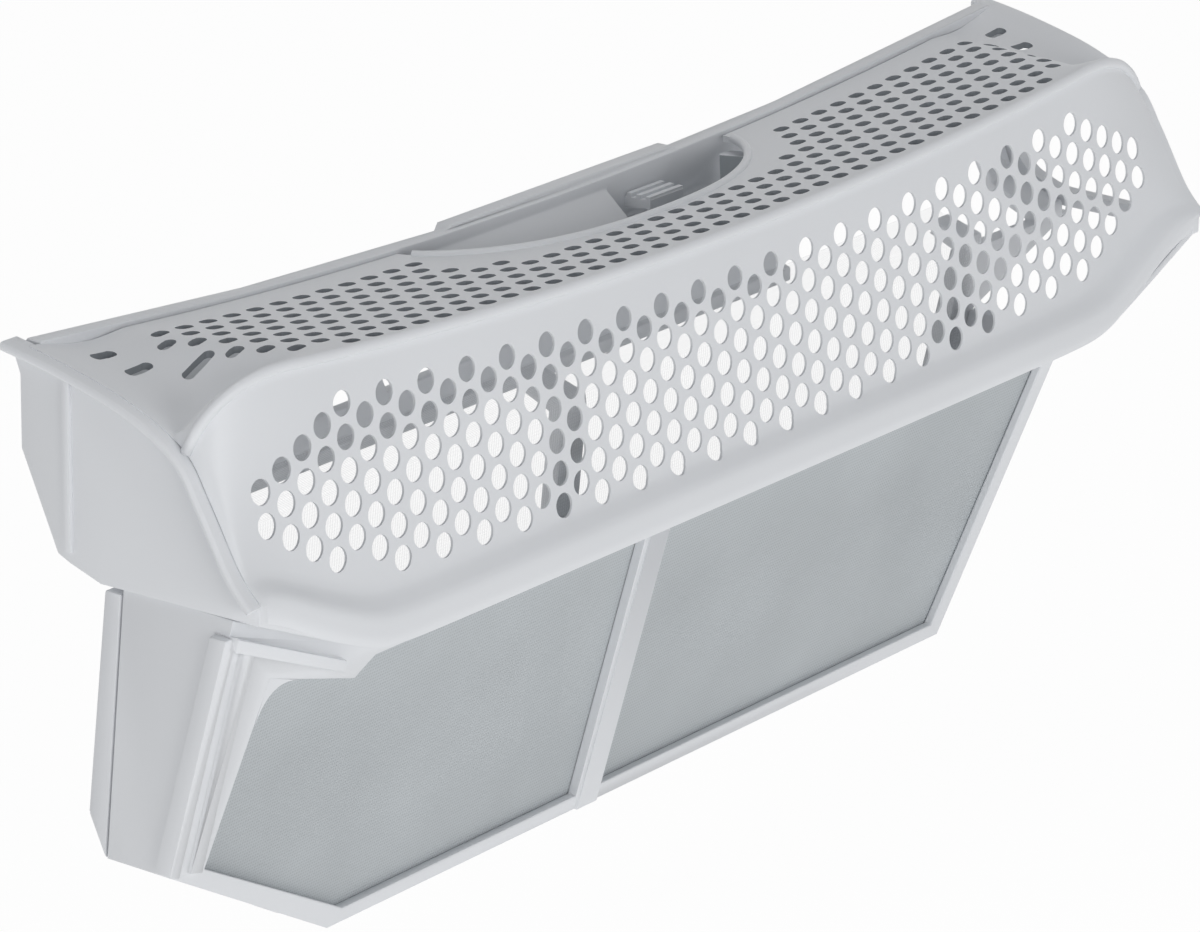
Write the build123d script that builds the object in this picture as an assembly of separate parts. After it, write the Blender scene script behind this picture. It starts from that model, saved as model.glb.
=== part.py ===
from build123d import *
from math import atan, cos, degrees, sin
import os

os.makedirs("parts", exist_ok=True)

# Driving sizes in millimetres: x along the filter, y from the front to the rear, z up from the seat.
LENGTH = 305.0
DEPTH = 58.0
POCKET_DROP = 82.5
CHEEK = 2.4
CHEEK_HEIGHT = 41.0
RIM_FLANGE = 2.6
SADDLE_RADIUS = 1450.0

# Front grille panel.
PANEL_FOOT = 4.2
PANEL_LEAN = 0.148
PANEL_WALL = 1.6
PANEL_END = 12.0
HOLE_RADIUS = 2.4
HOLE_PITCH = 11.7
HOLE_RISE = 6.1

# Top cover with its slots and the grip.
TOP_WALL = 1.8
TOP_FRONT = 9.2
TOP_REAR = 52.4
TOP_HEIGHT = 35.6
TOP_FALL = 0.07
SHEET_STEPS = 12
SLOT_LENGTH = 5.8
SLOT_WIDTH = 2.6
SLOT_PITCH = 12.4
SLOT_ROW = 6.2
SLOT_ROWS = 6
GRIP_CENTRE = 1.5
GRIP_LENGTH = 104.0
GRIP_WIDTH = 23.0
GRIP_DEPTH = 10.0
GRIP_WALL = 1.5
WELL_LENGTH = 34.0
WELL_DEPTH = 16.0

# Skirt, floor and pocket.
SKIRT_DROP = 15.2
SKIRT_RUN = 35.0
BAND_HEIGHT = 5.6
BAND_WALL = 2.2
FLOOR_WALL = 1.8
POCKET_WALL = 2.2
POCKET_SLOPE = 0.28
POCKET_FRONT = 6.1
POCKET_RIGHT = 118.5
POCKET_TAPER = 0.247
CORNER_RUN = 53.0
CORNER_RISE = 29.5
BAR_CENTRE = -20.5
BAR_WIDTH = 7.5
MESH_WALL = 0.5

# Rear flap and its hinge.
FLAP_FRONT = 32.2
FLAP_WALL = 3.8
FLAP_SLOPE = 0.09
FLAP_GAP = 0.4
FLAP_BEND = 2.4
HINGE_RADIUS = 3.0
PIN_RADIUS = 1.2
PIN_GAP = 0.35
KNUCKLE = 10.0
KNUCKLE_REACH = 66.0
REAR_TOP = 0.5
REAR_FRAME = 9.0
REAR_SIDE = 9.0
REAR_POST = 6.0
RAIL_LOW = 20.4
SILL_BAR = 9.5

HALF = LENGTH / 2
PANEL_HALF = HALF - PANEL_END
PANEL_TOP = TOP_HEIGHT - TOP_WALL
INSIDE = HALF - CHEEK
FLAP_HALF = INSIDE - FLAP_GAP
PLACE = Location((0, -DEPTH / 2, POCKET_DROP))


def rise(x):
    return x * x / (2 * SADDLE_RADIUS)


def prism_y(points, start, end):
    """A solid from x, z points, standing between two depths."""
    face = make_face(Plane.XZ * Polyline(*points, close=True))
    return Pos(0, start, 0) * extrude(face, amount=end - start, dir=(0, 1, 0))


def prism_x(points, start, end):
    """A solid from y, z points, standing between two places along the filter."""
    face = make_face(Plane.YZ * Polyline(*points, close=True))
    return Pos(start, 0, 0) * extrude(face, amount=end - start, dir=(1, 0, 0))


def hole_spots(first, last, low, high, pitch, row, centre):
    """Staggered spots, every second column half a row higher."""
    spots = []
    column = int(first / (pitch / 2)) - 1
    while column * pitch / 2 <= last:
        u = column * pitch / 2
        shift = row / 2 if column % 2 else 0
        step = 0
        while low + shift + step * row <= high:
            v = low + shift + step * row
            if first <= u <= last:
                spots.append((u + centre, v))
            step += 1
        column += 1
    return spots


def export(solid, name):
    export_step(PLACE * solid, f"parts/{name}.step")


# Housing body: two end cheeks with a flanged rim, the right one open, joined by band, floor and end floor.
RIM = [(0, 3.8), (5.0, 9.2), (11.6, 20.4), (17.4, 28.6), (29.0, 34.6), (45.0, 38.8), (DEPTH, CHEEK_HEIGHT)]
BACK = [(DEPTH, CHEEK_HEIGHT), (55.4, 35.0), (55.4, 21.2), (46.2, 3.5), (36.0, 0), (0, 0), (0, 3.8)]
cheek_face = make_face(Plane.YZ * (Spline(*RIM) + Polyline(*BACK)))
lower_rim = [(y + 1.3, z - 1.7) for y, z in RIM[:-1]] + [(DEPTH - 0.6, CHEEK_HEIGHT - 2.0)]
flange_edges = Spline(*RIM) + Spline(*lower_rim)
flange_ends = Line(RIM[0], lower_rim[0]) + Line(RIM[-1], lower_rim[-1])
flange_face = make_face(Plane.YZ * (flange_edges + flange_ends))
cheeks = []
for side in (-1, 1):
    wall = extrude(cheek_face, amount=CHEEK, dir=(1, 0, 0))
    lip = extrude(flange_face, amount=CHEEK + RIM_FLANGE, dir=(1, 0, 0))
    inner = -HALF if side < 0 else INSIDE
    outer = -HALF - RIM_FLANGE if side < 0 else INSIDE
    cheeks.append(Pos(inner, 0, 0) * wall + Pos(outer, 0, 0) * lip)
KNEE = HALF - SKIRT_RUN
low_line = [(-HALF, 0), (-KNEE, -SKIRT_DROP), (KNEE, -SKIRT_DROP), (HALF, 0)]
band_top = [(x, z + BAND_HEIGHT) for x, z in reversed(low_line)]
floor_top = [(x, z + FLOOR_WALL) for x, z in reversed(low_line)]
band = prism_y(low_line + band_top, 0, BAND_WALL)
SHELF_REAR = POCKET_FRONT + POCKET_SLOPE * SKIRT_DROP - 0.06
shelf = prism_y(low_line + floor_top, BAND_WALL - 0.5, SHELF_REAR)
right_low = [(KNEE, -SKIRT_DROP), (HALF, 0)]
right_floor = right_low + [(x, z + FLOOR_WALL) for x, z in reversed(right_low)]
end_floor = prism_y(right_floor, BAND_WALL - 0.5, FLAP_FRONT - FLAP_GAP - 0.5)
right_window = [(13.0, 3.4), (13.0, 16.0), (19.6, 25.0), (30.0, 30.2), (44.0, 33.6)]
right_window += [(50.4, 33.6), (50.4, 20.6), (43.0, 6.6), (35.0, 3.4)]
end_window = prism_x(right_window, INSIDE - 1, HALF + 1)
housing = cheeks[0] + (cheeks[1] - end_window) + band + shelf + end_floor
export(housing, "housing_body")

# Front grille: a leaning flat panel with staggered six-sided holes and end caps that round back to the rims.
lean = atan(PANEL_LEAN)
panel_plane = Plane((0, PANEL_FOOT, 0), x_dir=(1, 0, 0), z_dir=(0, -cos(lean), sin(lean)))
edge_rise = rise(PANEL_HALF)
tuck = BAND_HEIGHT - 1.4
foot_edge = SKIRT_DROP / SKIRT_RUN * (HALF - PANEL_HALF)
foot = [(-PANEL_HALF, tuck - foot_edge), (-KNEE, tuck - SKIRT_DROP)]
foot += [(-x, z) for x, z in reversed(foot)]
crest = PANEL_TOP + edge_rise
outline = Wire(
    [
        *Polyline(*foot).edges(),
        Line(foot[3], (PANEL_HALF, crest)),
        ThreePointArc((PANEL_HALF, crest), (0, PANEL_TOP), (-PANEL_HALF, crest)),
        Line((-PANEL_HALF, crest), foot[0]),
    ]
)
reach = PANEL_HALF - HOLE_RADIUS - 1.6
HOLE_LOW, HOLE_HIGH = -4.5, 26.6
holes = []
for u, v in hole_spots(-reach, reach, HOLE_LOW, HOLE_HIGH, HOLE_PITCH, HOLE_RISE, 0):
    inset = max(0, abs(u) - reach + 13) * 0.42
    if v < HOLE_LOW + inset or v > HOLE_HIGH - inset:
        continue
    corners = []
    for k in range(6):
        turn = 1.0471975512 * k
        corners.append((u + HOLE_RADIUS * 0.86 * cos(turn), v + rise(u) + HOLE_RADIUS * sin(turn)))
    holes.append(Wire(Polyline(*corners, close=True).edges()))
panel_face = panel_plane * Face(outline, holes)
panel = Solid.extrude(panel_face, panel_plane.z_dir * -PANEL_WALL)


def cap_section(x, low, crease, brow, back):
    """The panel's cross section at one place, as a thin bent strip."""
    thick = PANEL_WALL
    front = [low, crease, brow, back]
    inner = [(back[0], back[1] - thick), (brow[0] + 0.6, brow[1] - thick)]
    inner += [(crease[0] + thick, crease[1] - 0.5), (low[0] + thick, low[1])]
    return make_face(Plane.YZ.offset(x) * Polyline(*front, *inner, close=True))


def on_panel(z):
    return PANEL_FOOT + PANEL_LEAN * z


caps = []
for side in (-1, 1):
    mid = (PANEL_HALF + INSIDE) / 2
    z_low = foot[0][1] * cos(lean)
    z_top = crest * cos(lean)
    brow = (on_panel(z_top) + 2.2, z_top - 0.7)
    crease = (on_panel(z_top), z_top - 1.8)
    back = (brow[0] + 2.4, z_top - 0.9)
    root = cap_section(side * PANEL_HALF, (on_panel(z_low), z_low), crease, brow, back)
    back = (17.0, z_top - 3.2)
    middle = cap_section(side * mid, (4.9, 2.0), (11.2, z_top - 7.0), (14.4, z_top - 4.0), back)
    tip = cap_section(side * (INSIDE - 0.3), (6.2, 5.6), (13.0, 19.6), (18.6, 26.6), (24.8, 30.4))
    caps.append(loft([root, middle, tip], ruled=True))
grille = panel + caps[0] + caps[1]
export(grille, "front_grille")

# Top cover: a saddle-shaped sheet that falls a little to the rear, with staggered slots and the grip opening.
fall = degrees(atan(TOP_FALL))
sheet_half = INSIDE - 13.0
tip_rise = rise(sheet_half)
stations = [sheet_half * (2 * step / SHEET_STEPS - 1) for step in range(SHEET_STEPS + 1)]
saddle = [(x, rise(x)) for x in stations]
saddle += [(x, z - TOP_WALL) for x, z in reversed(saddle)]
sheet_depth = TOP_REAR - TOP_FRONT
sheet = prism_y(saddle, 0, sheet_depth)
grip_front = sheet_depth - GRIP_WIDTH
grip_half = GRIP_LENGTH / 2


def grip_outline(grow):
    """The boat-shaped edge of the grip, open to the rear."""
    rear = sheet_depth + 3
    points = []
    right_side = [(1.0, 0.56), (0.97, 0.37), (0.9, 0.22), (0.78, 0.11), (0.6, 0.045), (0.33, 0.01)]
    left_side = [(-across, along) for across, along in reversed(right_side)]
    for across, along in right_side + [(0, 0)] + left_side:
        points.append((GRIP_CENTRE + across * (grip_half + grow), grip_front - grow + along * GRIP_WIDTH))
    points += [(points[-1][0] + 2, rear), (points[0][0] - 2, rear)]
    return make_face(Plane.XY * Polyline(*points, close=True))


slots = []
slot_first = 3.5
slot_last = slot_first + (SLOT_ROWS - 0.5) * SLOT_ROW
slot_reach = sheet_half - 3
for u, v in hole_spots(-slot_reach, slot_reach, slot_first, slot_last, SLOT_PITCH, SLOT_ROW * 2, 0):
    across = abs(u - GRIP_CENTRE)
    over_grip = across < grip_half + 5 and v > grip_front - 3 + 9 * (across / grip_half) ** 4
    if not over_grip:
        slots.append(Pos(u, v, rise(u) - TOP_WALL / 2) * Box(SLOT_LENGTH, SLOT_WIDTH, TOP_WALL + 2))
opening = Pos(0, 0, -6) * extrude(grip_outline(0), amount=14, dir=(0, 0, 1))
sheet = sheet - opening
sheet = sheet - slots
tilt = Pos(0, TOP_FRONT, TOP_HEIGHT) * Rot(-fall, 0, 0)


def wing_section(x, points):
    """One end of a wing of the top cover, as a thin bent strip."""
    under = [(y, z - TOP_WALL) for y, z in reversed(points)]
    return make_face(Plane.YZ.offset(x) * Polyline(*points, *under, close=True))


def sheet_z(y):
    return TOP_HEIGHT - TOP_FALL * (y - TOP_FRONT) + tip_rise


wings = []
for side in (-1, 1):
    root_line = [(y, sheet_z(y)) for y in (TOP_FRONT + 4, 24, 38, TOP_REAR)]
    root = wing_section(side * (sheet_half - 0.5), root_line)
    mid_line = [(17.5, 2.2), (26.5, 3.0), (39, 3.8), (TOP_REAR, 4.0)]
    mid = wing_section(side * (sheet_half + 7), [(y, TOP_HEIGHT + z) for y, z in mid_line])
    tip = wing_section(side * (INSIDE - 0.3), [(25.2, 32.2), (30, 33.8), (40, 36.6), (TOP_REAR, 38.8)])
    wings.append(loft([root, mid, tip], ruled=True))
top_cover = tilt * sheet + wings[0] + wings[1]
export(top_cover, "top_cover")

# Grip cup: the boat-shaped finger tray under the opening, open to the rear, with a deep well at its right.
cup_trim = Pos(0, sheet_depth + 9.2, 0) * Box(400, 20, 100)
cup_height = GRIP_DEPTH + GRIP_WALL - TOP_WALL - 0.4
tray = Pos(0, 0, -GRIP_DEPTH - GRIP_WALL) * extrude(grip_outline(0), amount=cup_height, dir=(0, 0, 1))
tray_space = extrude(grip_outline(-GRIP_WALL), amount=GRIP_DEPTH + 4, dir=(0, 0, 1))
well_place = (GRIP_CENTRE + GRIP_LENGTH / 2 - WELL_LENGTH / 2 - 7, grip_front + 12)
well_width = GRIP_WIDTH - 10
well = Pos(*well_place, -WELL_DEPTH / 2 - GRIP_WALL) * Box(WELL_LENGTH, well_width, WELL_DEPTH)
well_space = Box(WELL_LENGTH - 2 * GRIP_WALL, well_width - 2 * GRIP_WALL, WELL_DEPTH)
cup = tray + well - Pos(0, 0, -GRIP_DEPTH) * tray_space - Pos(*well_place, -WELL_DEPTH / 2) * well_space
cup_ring = extrude(grip_outline(2.5) - grip_outline(-GRIP_WALL), amount=1.2, dir=(0, 0, 1))
cup = cup + Pos(0, 0, -TOP_WALL - 1.6) * cup_ring - cup_trim
for place, size in ((-28.0, 11.0), (-6.0, 7.0)):
    cup = cup - Pos(GRIP_CENTRE + place, grip_front + 9, -GRIP_DEPTH) * Box(size, 4, 6)
export(tilt * cup, "grip_cup")


def front_y(z):
    return POCKET_FRONT - POCKET_SLOPE * z


def flap_y(z):
    return FLAP_FRONT - FLAP_SLOPE * z


def slab(front_shift, rear_shift):
    """Everything between the pocket's front plane and the parting plane, each moved to the rear."""
    top, low = 6.0, -POCKET_DROP - 6
    points = [(front_y(top) + front_shift, top), (front_y(low) + front_shift, low)]
    points += [(flap_y(low) + rear_shift, low), (flap_y(top) + rear_shift, top)]
    return prism_x(points, -HALF - 20, HALF + 20)


def layer(front_shift, rear_shift):
    """A sheet along the pocket's front plane."""
    top, low = 6.0, -POCKET_DROP - 6
    points = [(front_y(top) + front_shift, top), (front_y(low) + front_shift, low)]
    points += [(front_y(low) + rear_shift, low), (front_y(top) + rear_shift, top)]
    return prism_x(points, -HALF - 20, HALF + 20)


def flap_layer(front_shift, rear_shift):
    """A sheet along the parting plane."""
    top, low = 6.0, -POCKET_DROP - 6
    points = [(flap_y(top) + front_shift, top), (flap_y(low) + front_shift, low)]
    points += [(flap_y(low) + rear_shift, low), (flap_y(top) + rear_shift, top)]
    return prism_x(points, -HALF - 20, HALF + 20)


def right_x(z):
    return POCKET_RIGHT + POCKET_TAPER * (z + SKIRT_DROP)


# Pocket frame: front wall with two windows, end walls, cut corner, bottom and the fixed hinge knuckles.
BOTTOM = -POCKET_DROP
CORNER = -HALF + CORNER_RUN
pocket_line = [(-HALF, 0), (-HALF, BOTTOM + CORNER_RISE), (CORNER, BOTTOM), (right_x(BOTTOM), BOTTOM)]
pocket_line += [(right_x(-SKIRT_DROP), -SKIRT_DROP), (KNEE, -SKIRT_DROP), (-KNEE, -SKIRT_DROP)]
w = POCKET_WALL
inner_line = [(-HALF + w, 9), (-HALF + w, BOTTOM + CORNER_RISE + 0.55 * w), (CORNER + 0.25 * w, BOTTOM + w)]
inner_line += [(right_x(BOTTOM + w) - w, BOTTOM + w), (right_x(9) - w, 9)]
body_line = [(-HALF, 0)] + pocket_line[1:4] + [(right_x(0), 0)]
pocket = prism_y(body_line, 0, 60) & slab(0, -FLAP_GAP)
pocket = pocket - (prism_y(inner_line, 0, 70) & slab(w, 20))
beyond = SKIRT_DROP / SKIRT_RUN * 2
above = [(-HALF - 2, beyond), (-KNEE, -SKIRT_DROP), (KNEE, -SKIRT_DROP), (HALF, 0)]
above += [(HALF, 20), (-HALF - 2, 20)]
front_trim = prism_y(above, -5, SHELF_REAR + 0.05)
rear_trim = Pos(0, 0, FLOOR_WALL - 0.4) * prism_y(above, SHELF_REAR, 14.2)
right_line = [(KNEE - 5, -SKIRT_DROP), (KNEE, -SKIRT_DROP), (HALF, 0), (HALF, 20), (KNEE - 5, 20)]
right_trim = prism_y(right_line, -5, 60)
pocket = pocket - front_trim - rear_trim - right_trim
WINDOW_TOP = -21.5
bar_left, bar_right = BAR_CENTRE - BAR_WIDTH / 2, BAR_CENTRE + BAR_WIDTH / 2
SILL = BOTTOM + 3.2
left_window = [(-HALF + 15.6, -17), (-HALF + 9.4, BOTTOM + CORNER_RISE - 1.2), (CORNER + 3.6, SILL)]
left_window += [(bar_left, SILL), (bar_left, WINDOW_TOP), (-KNEE + 11, WINDOW_TOP), (-KNEE + 7, -25.2)]
right_window = [(bar_right, SILL), (right_x(SILL) - 4, SILL)]
right_window += [(right_x(WINDOW_TOP) - 4, WINDOW_TOP), (bar_right, WINDOW_TOP)]
windows = prism_y(left_window, 0, 60) + prism_y(right_window, 0, 60)
pocket = pocket - (windows & layer(-2, w + 1))
corner_z = BOTTOM + CORNER_RISE
bead_line = [(-HALF - 1.8, -3.5), (-HALF - 1.8, corner_z + 1), (-HALF + 1, corner_z), (-HALF + 1, -3.5)]
bead = prism_y(bead_line, -20, 60) & layer(-0.8, 3.2)
strip_line = [(-HALF + 4.0, -8), (-HALF + 4.0, corner_z), (-HALF + 7.5, corner_z - 1), (-HALF + 7.5, -8)]
strip = prism_y(strip_line, -20, 60) & layer(-0.9, 1)
collar_line = [(-HALF, -3.2), (-KNEE, -SKIRT_DROP - 3.4), (-KNEE, -SKIRT_DROP - 6), (-HALF, -6)]
collar = prism_y(collar_line, -20, 60) & layer(-2.4, 1)
bar_line = [(bar_left + 0.6, BOTTOM), (bar_right - 0.6, BOTTOM)]
bar_line += [(x, WINDOW_TOP + 1) for x, z in reversed(bar_line)]
raised_bar = prism_y(bar_line, -20, 60) & layer(-0.7, 1)
pocket = pocket + bead + strip + collar + raised_bar

# The hinge line lies along the pocket's lower rear edge.
HINGE_Z = BOTTOM + HINGE_RADIUS
HINGE_Y = flap_y(HINGE_Z) + FLAP_WALL / 2
knuckle_places = (-KNUCKLE_REACH, KNUCKLE_REACH)


def rod(radius, start, end):
    return Pos((start + end) / 2, HINGE_Y, HINGE_Z) * Rot(0, 90, 0) * Cylinder(radius, end - start)


pocket = pocket - rod(HINGE_RADIUS + 0.5, CORNER - 12, right_x(BOTTOM) + 10)
for place in knuckle_places:
    ends = (place - KNUCKLE / 2, place + KNUCKLE / 2)
    arm_root = HINGE_Y - HINGE_RADIUS - 2.5
    arm = [(arm_root, BOTTOM), (HINGE_Y, BOTTOM), (HINGE_Y, HINGE_Z), (arm_root, BOTTOM + w)]
    pocket = pocket + prism_x(arm, *ends) + rod(HINGE_RADIUS, *ends)
    pocket = pocket - rod(PIN_RADIUS, ends[0] - 1, ends[1] + 1)
export(pocket, "pocket_frame")

# Front mesh: one thin sheet laid against the back of the front wall.
mesh_line = [(-HALF + 5, -10), (-HALF + 5, BOTTOM + CORNER_RISE + 1), (CORNER + 1.5, BOTTOM + w + 0.2)]
mesh_line += [(right_x(BOTTOM + w) - w - 0.4, BOTTOM + w + 0.2), (right_x(-18) - w - 0.4, -18), (-KNEE, -18)]
front_mesh = prism_y(mesh_line, 0, 60) & layer(w, w + MESH_WALL)
export(front_mesh, "front_mesh")

# Rear flap: a bent frame from the hinge to the top rail, mesh bays below, open bays above, and the pull tab.
flap_line = [(-HALF, -1.4), (-HALF, BOTTOM + CORNER_RISE), (CORNER, BOTTOM), (right_x(BOTTOM), BOTTOM)]
flap_line += [(right_x(-SKIRT_DROP), -SKIRT_DROP), (HALF, -1.4)]
flap = prism_y(flap_line, 0, 80) & flap_layer(0, FLAP_WALL)
REAR_LOW = BOTTOM + REAR_FRAME
left_bay = [(-HALF + 8, REAR_TOP), (-HALF + 8, corner_z + 4), (CORNER + 4, REAR_LOW)]
left_bay += [(bar_left, REAR_LOW), (bar_left, REAR_TOP)]
right_bay = [(bar_right, REAR_LOW), (right_x(REAR_LOW) - REAR_SIDE, REAR_LOW)]
right_bay += [(right_x(REAR_TOP) - REAR_SIDE, REAR_TOP), (bar_right, REAR_TOP)]
for bay in (left_bay, right_bay):
    flap = flap - prism_y(bay, 0, 90)
t = FLAP_BEND
SLOPE_END = 43.5
bend = [(flap_y(-1.4), -1.4), (flap_y(-1.4) + FLAP_WALL, -1.4), (46.4, 2.9), (55.8, 21.0), (56.4, 24.5)]
bend += [(56.4 - t, 24.5), (55.8 - t - 0.5, 22.2), (44.9, 5.0), (flap_y(1.4) + 0.6, 1.4)]
upper = prism_x(bend, -FLAP_HALF, FLAP_HALF)
bay_ends = (-FLAP_HALF + 9, -0.42 * FLAP_HALF - 3, -0.42 * FLAP_HALF + 3)
bay_ends += tuple(-x for x in reversed(bay_ends))
for start, end in zip(bay_ends[0::2], bay_ends[1::2]):
    sill = 1.0 if end > 0.6 * FLAP_HALF else SILL_BAR
    window = [(start, sill), (end, sill), (end, RAIL_LOW), (start, RAIL_LOW)]
    upper = upper - prism_y(window, SLOPE_END - 2, DEPTH + 4)
floor_low, floor_high = -5.0, 8.0
floor_right = right_x(0) - REAR_SIDE
for start, end in ((-HALF + 8, bar_left), (bar_right, floor_right), (floor_right + REAR_POST, FLAP_HALF - 9)):
    gap = [(start, floor_low), (end, floor_low), (end, floor_high), (start, floor_high)]
    upper = upper - prism_y(gap, FLAP_FRONT - 2, SLOPE_END)
rail_rise = rise(FLAP_HALF)
rail_top = TOP_HEIGHT - TOP_FALL * sheet_depth + 0.6
RAIL_FRONT = TOP_REAR + FLAP_GAP + 0.2
RAIL_REAR = 56.4
left_tip = (-FLAP_HALF, rail_top + rail_rise)
right_tip = (FLAP_HALF, rail_top + rail_rise)
rail_arc = ThreePointArc(left_tip, (0, rail_top), right_tip)
rail_rest = Polyline(right_tip, (FLAP_HALF, 23.5), (-FLAP_HALF, 23.5), left_tip)
rail_face = make_face(Plane.XZ * (rail_arc + rail_rest))
rail = Pos(0, RAIL_FRONT, 0) * extrude(rail_face, amount=RAIL_REAR - RAIL_FRONT, dir=(0, 1, 0))
tab_low, tab_high = GRIP_CENTRE - 36, GRIP_CENTRE + 40
tab = [(tab_low, rail_top - 3), (tab_low + 3, rail_top + 3)]
tab += [(tab_high - 3, rail_top + 3), (tab_high, rail_top - 3)]
pull_tab = prism_y(tab, 54.2, DEPTH)
LIP_FRONT = TOP_REAR - 5.9
tongue_top = TOP_HEIGHT - 7.2
tongue = [(LIP_FRONT, tongue_top - 2.2), (54.5, tongue_top - 2.8)]
tongue += [(54.5, tongue_top - 0.4), (LIP_FRONT, tongue_top)]
latch = prism_x(tongue, GRIP_CENTRE + 20, GRIP_CENTRE + 31)
for step in range(3):
    latch = latch + Pos(GRIP_CENTRE + 25.5, LIP_FRONT + 0.7 + 2.3 * step, tongue_top) * Box(11, 1.1, 1.2)
lip_top = TOP_HEIGHT - 3.2
lip = [(LIP_FRONT, lip_top - 6.8), (54.5, lip_top), (54.5, lip_top - 2.2), (LIP_FRONT, lip_top - 8.6)]
finger_lip = prism_x(lip, GRIP_CENTRE - 44, GRIP_CENTRE + 14)
flap = flap + upper + rail + pull_tab + latch + finger_lip
roll = rod(HINGE_RADIUS, CORNER - 4, right_x(BOTTOM) - 1)
corner_line = [(-HALF - 5, corner_z), (CORNER, BOTTOM), (CORNER, BOTTOM - 20), (-HALF - 5, BOTTOM - 20)]
corner_cut = prism_y(corner_line, 0, 90)
below = Pos(0, 50, BOTTOM - 10 + HINGE_RADIUS) * Box(400, 100, 20)
flap = (flap - (below & flap_layer(-30, 30))) + (roll - corner_cut)
for place in knuckle_places:
    flap = flap - rod(HINGE_RADIUS + 0.5, place - KNUCKLE / 2 - 0.4, place + KNUCKLE / 2 + 0.4)
    flap = flap - rod(PIN_RADIUS + PIN_GAP, place - KNUCKLE / 2 - 11, place + KNUCKLE / 2 + 11)
export(flap, "rear_frame")

# Rear mesh: one thin sheet on the flap's inner face, bent at the top to lie along the slope.
mesh_top = -1.0
rear_line = [(-HALF + 5, mesh_top), (-HALF + 5, BOTTOM + CORNER_RISE + 3), (CORNER + 4, BOTTOM + 7.2)]
rear_line += [(right_x(BOTTOM + 7) - 3, BOTTOM + 7.2), (right_x(mesh_top) - 5, mesh_top)]
flat_mesh = prism_y(rear_line, 0, 80) & flap_layer(-MESH_WALL, 0)
fold_y = flap_y(mesh_top)
slope_mesh = [(fold_y - MESH_WALL, mesh_top - 0.2), (fold_y, mesh_top - 0.2), (flap_y(1.4), 1.4)]
slope_mesh += [(flap_y(1.4) + 0.6, 1.4), (SLOPE_END + 0.8, 4.84), (SLOPE_END + 0.65, 4.84 + MESH_WALL)]
slope_mesh += [(flap_y(1.4) + 0.3, 1.4 + MESH_WALL), (flap_y(1.4) - MESH_WALL, 1.4 + MESH_WALL)]
export(flat_mesh + prism_x(slope_mesh, -HALF + 5, right_x(0) - 5), "rear_mesh")

# Hinge pins: two alike, each through one fixed knuckle and the rolled edge on both sides.
pins = [rod(PIN_RADIUS, place - KNUCKLE / 2 - 8, place + KNUCKLE / 2 + 8) for place in knuckle_places]
export(Compound(children=[pin.solid() for pin in pins]), "hinge_pins")
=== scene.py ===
import math
import bmesh
import bpy
from mathutils import Euler, Matrix, Vector


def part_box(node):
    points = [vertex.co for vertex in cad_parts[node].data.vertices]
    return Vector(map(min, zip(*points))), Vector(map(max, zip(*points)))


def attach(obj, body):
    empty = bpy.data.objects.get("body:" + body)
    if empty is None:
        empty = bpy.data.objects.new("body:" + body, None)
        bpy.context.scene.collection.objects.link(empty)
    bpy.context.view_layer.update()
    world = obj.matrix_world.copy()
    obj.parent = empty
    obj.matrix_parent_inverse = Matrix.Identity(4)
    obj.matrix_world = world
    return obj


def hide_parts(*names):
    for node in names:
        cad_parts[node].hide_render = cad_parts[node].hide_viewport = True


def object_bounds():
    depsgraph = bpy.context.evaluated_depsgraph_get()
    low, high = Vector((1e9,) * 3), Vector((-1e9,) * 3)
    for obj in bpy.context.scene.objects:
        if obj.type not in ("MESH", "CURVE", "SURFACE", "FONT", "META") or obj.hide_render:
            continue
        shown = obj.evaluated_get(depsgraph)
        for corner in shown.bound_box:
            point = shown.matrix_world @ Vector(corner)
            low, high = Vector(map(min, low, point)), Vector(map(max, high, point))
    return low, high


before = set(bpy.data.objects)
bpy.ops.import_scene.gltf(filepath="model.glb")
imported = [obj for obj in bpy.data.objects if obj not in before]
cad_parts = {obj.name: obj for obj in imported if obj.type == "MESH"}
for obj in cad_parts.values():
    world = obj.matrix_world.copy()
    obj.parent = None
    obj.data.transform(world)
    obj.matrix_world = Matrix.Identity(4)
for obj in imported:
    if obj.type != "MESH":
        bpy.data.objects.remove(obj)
cad_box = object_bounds()

# Stage: a plain white studio floor of matt card, set low enough for the open flap to hang clear of it.
# It is lit by three soft boxes and an even sky.
# It shows as white to the camera and keeps a faint shadow.
MM = 0.001
FLOOR_HALF, FLOOR_CLEAR = 6.0, 26.0
FLOOR_GLOW, FLOOR_GLOW_SEEN = 0.68, 0.97
SKY_STRENGTH = 0.22
LAMP_AIM = Vector((0, 0, 0.06))
SOFT_BOXES = (
    ("front soft box", (-0.45, -1.35, 0.25), 0.9, 8.4),
    ("top soft box", (0.1, 0.1, 1.5), 1.1, 5.0),
    ("left soft box", (-1.4, -0.1, 0.3), 0.8, 3.2),
)
CAMERA_PLACE = Vector((-936.7, -698.3, 471.4)) * MM
CAMERA_TURN, CAMERA_RAISE, CAMERA_ROLL = -52.795, 19.186, 0.734
CAMERA_SENSOR, CAMERA_LENS, CAMERA_NEAR = 36.0, 189.4, 0.01


def colour(code):
    """A hex colour as linear red, green, blue and alpha."""
    parts = [int(code[i:i + 2], 16) / 255 for i in (0, 2, 4)]
    return [p / 12.92 if p < 0.04045 else ((p + 0.055) / 1.055) ** 2.4 for p in parts] + [1]


def add_node(tree, kind, settings=None, links=None):
    """One shader node, with its properties or constant inputs set and its inputs linked."""
    node = tree.nodes.new(kind)
    for name, value in (settings or {}).items():
        if isinstance(name, str) and hasattr(node, name):
            setattr(node, name, value)
        else:
            node.inputs[name].default_value = value
    for name, source in (links or {}).items():
        tree.links.new(source, node.inputs[name])
    return node


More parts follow.
